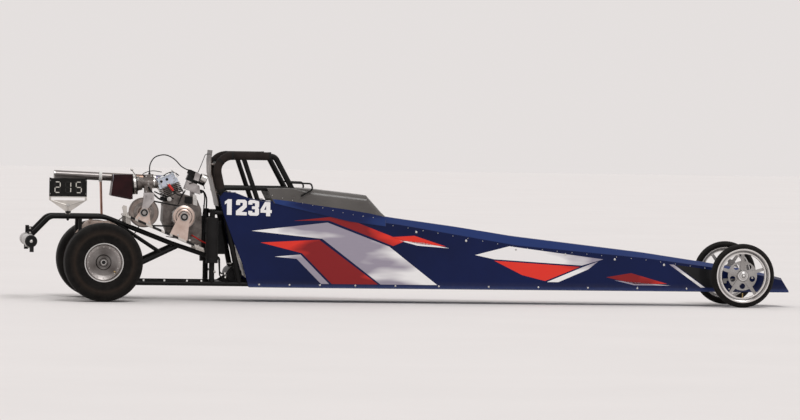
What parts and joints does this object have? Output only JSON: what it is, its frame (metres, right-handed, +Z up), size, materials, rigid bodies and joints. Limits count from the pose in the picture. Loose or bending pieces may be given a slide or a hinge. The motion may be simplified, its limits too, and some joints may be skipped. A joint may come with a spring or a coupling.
{
  "type": "junior drag racing car",
  "caption": "Rear-engined drag racing car for a young driver: tube frame and cage, long tapered sheet body, belt and chain drive, live rear axle, steered front wheels.",
  "frame": {"origin": "middle of the whole car's box, at floor height", "axes": "+X forward to the nose, +Y to the car's left, +Z up"},
  "size_m": [4.5816, 0.9602, 0.8889],
  "materials": {
    "frame_black": "satin black powder coat",
    "body_navy": "gloss wrap",
    "smoked_screen": "smoked sheet",
    "tyre_black": "matt rubber",
    "polished_aluminium": "polished",
    "cast_alloy": "as cast",
    "plate_aluminium": "mill finish",
    "chrome": "polished",
    "steel": "turned",
    "black_plastic": "matt",
    "maroon_gloss": "gloss",
    "seat_vinyl": "grained",
    "pad_foam": "sleeve cloth",
    "belt_rubber": "matt",
    "red_cable": "cable sheath",
    "hose_rubber": "matt"
  },
  "bodies": {
    "chassis": {"lower_rails": "frame_black", "upper_rails": "frame_black", "cage_hoops": "frame_black", "cage_braces": "frame_black", "cross_tubes": "frame_black", "frame_uprights": "frame_black", "engine_rails": "frame_black", "rear_braces": "frame_black", "axle_hangers": "frame_black", "push_roller": "polished_aluminium", "body_sides": "body_navy", "body_deck": "body_navy", "belly_pan": "body_navy", "body_nose": "body_navy", "windscreen": "smoked_screen", "windscreen_guards": "frame_black", "deflector_plate": "plate_aluminium", "upright_sleeves": "pad_foam", "seat_shell": "plate_aluminium", "seat_pads": "seat_vinyl", "front_axle": "chrome", "engine_plate": "plate_aluminium", "crankcase": "cast_alloy", "cylinder": "cast_alloy", "cylinder_head": "polished_aluminium", "ignition_box": "cast_alloy", "carburettor": "cast_alloy", "air_box": "maroon_gloss", "exhaust_pipe": "chrome", "exhaust_strut": "steel", "clutch_pulleys": "steel", "drive_belt": "belt_rubber", "clutch_supports": "plate_aluminium", "drive_chain": "steel", "dial_board": "black_plastic", "board_bracket": "plate_aluminium", "guard_panel": "plate_aluminium", "cables": "black_plastic", "battery_cable": "red_cable", "hoses": "hose_rubber", "control_box": "black_plastic", "battery_box": "black_plastic", "fuel_tank": "black_plastic", "pedals": "steel", "brake_caliper": "polished_aluminium"},
    "steering": {"steering_wheel": "black_plastic"},
    "knuckle_right": {"knuckle_right": "steel"},
    "knuckle_left": {"knuckle_left": "steel"},
    "tie_rod": {"tie_rod": "steel"},
    "front_wheel_right": {"front_wheel_right": "polished_aluminium", "front_tyre_right": "tyre_black"},
    "front_wheel_left": {"front_wheel_left": "polished_aluminium", "front_tyre_left": "tyre_black"},
    "rear_axle": {"axle_shaft": "steel", "rear_wheels": "polished_aluminium", "rear_tyres": "tyre_black", "sprocket": "plate_aluminium", "brake_disc": "steel"}
  },
  "joints": [
    {"name": "rear_axle_spin", "type": "hinge", "parent": "chassis", "child": "rear_axle", "pos_m": [-1.83725, 0, 0.23], "axis": [0, 1, 0], "continuous": true},
    {"name": "steer_right", "type": "hinge", "parent": "chassis", "child": "knuckle_right", "pos_m": [1.97275, -0.208, 0.19], "axis": [0, 0, 1], "range_deg": [-18, 18]},
    {"name": "steer_left", "type": "hinge", "parent": "chassis", "child": "knuckle_left", "pos_m": [1.97275, 0.208, 0.19], "axis": [0, 0, 1], "range_deg": [-18, 18]},
    {"name": "tie_rod_pivot", "type": "hinge", "parent": "knuckle_right", "child": "tie_rod", "pos_m": [1.88075, -0.208, 0.15], "axis": [0, 0, 1], "range_deg": [-18, 18]},
    {"name": "front_right_spin", "type": "hinge", "parent": "knuckle_right", "child": "front_wheel_right", "pos_m": [1.97275, -0.285, 0.19], "axis": [0, 1, 0], "continuous": true},
    {"name": "front_left_spin", "type": "hinge", "parent": "knuckle_left", "child": "front_wheel_left", "pos_m": [1.97275, 0.285, 0.19], "axis": [0, 1, 0], "continuous": true},
    {"name": "steering_turn", "type": "hinge", "parent": "chassis", "child": "steering", "pos_m": [-0.44725, 0, 0.47], "axis": [-0.9643, 0, 0.2647], "range_deg": [-45, 45]}
  ],
  "couplings": [
    {"joint": "steer_left", "follows": "steer_right", "ratio": 1},
    {"joint": "tie_rod_pivot", "follows": "steer_right", "ratio": -1},
    {"joint": "steering_turn", "follows": "steer_right", "ratio": 2.5}
  ]
}
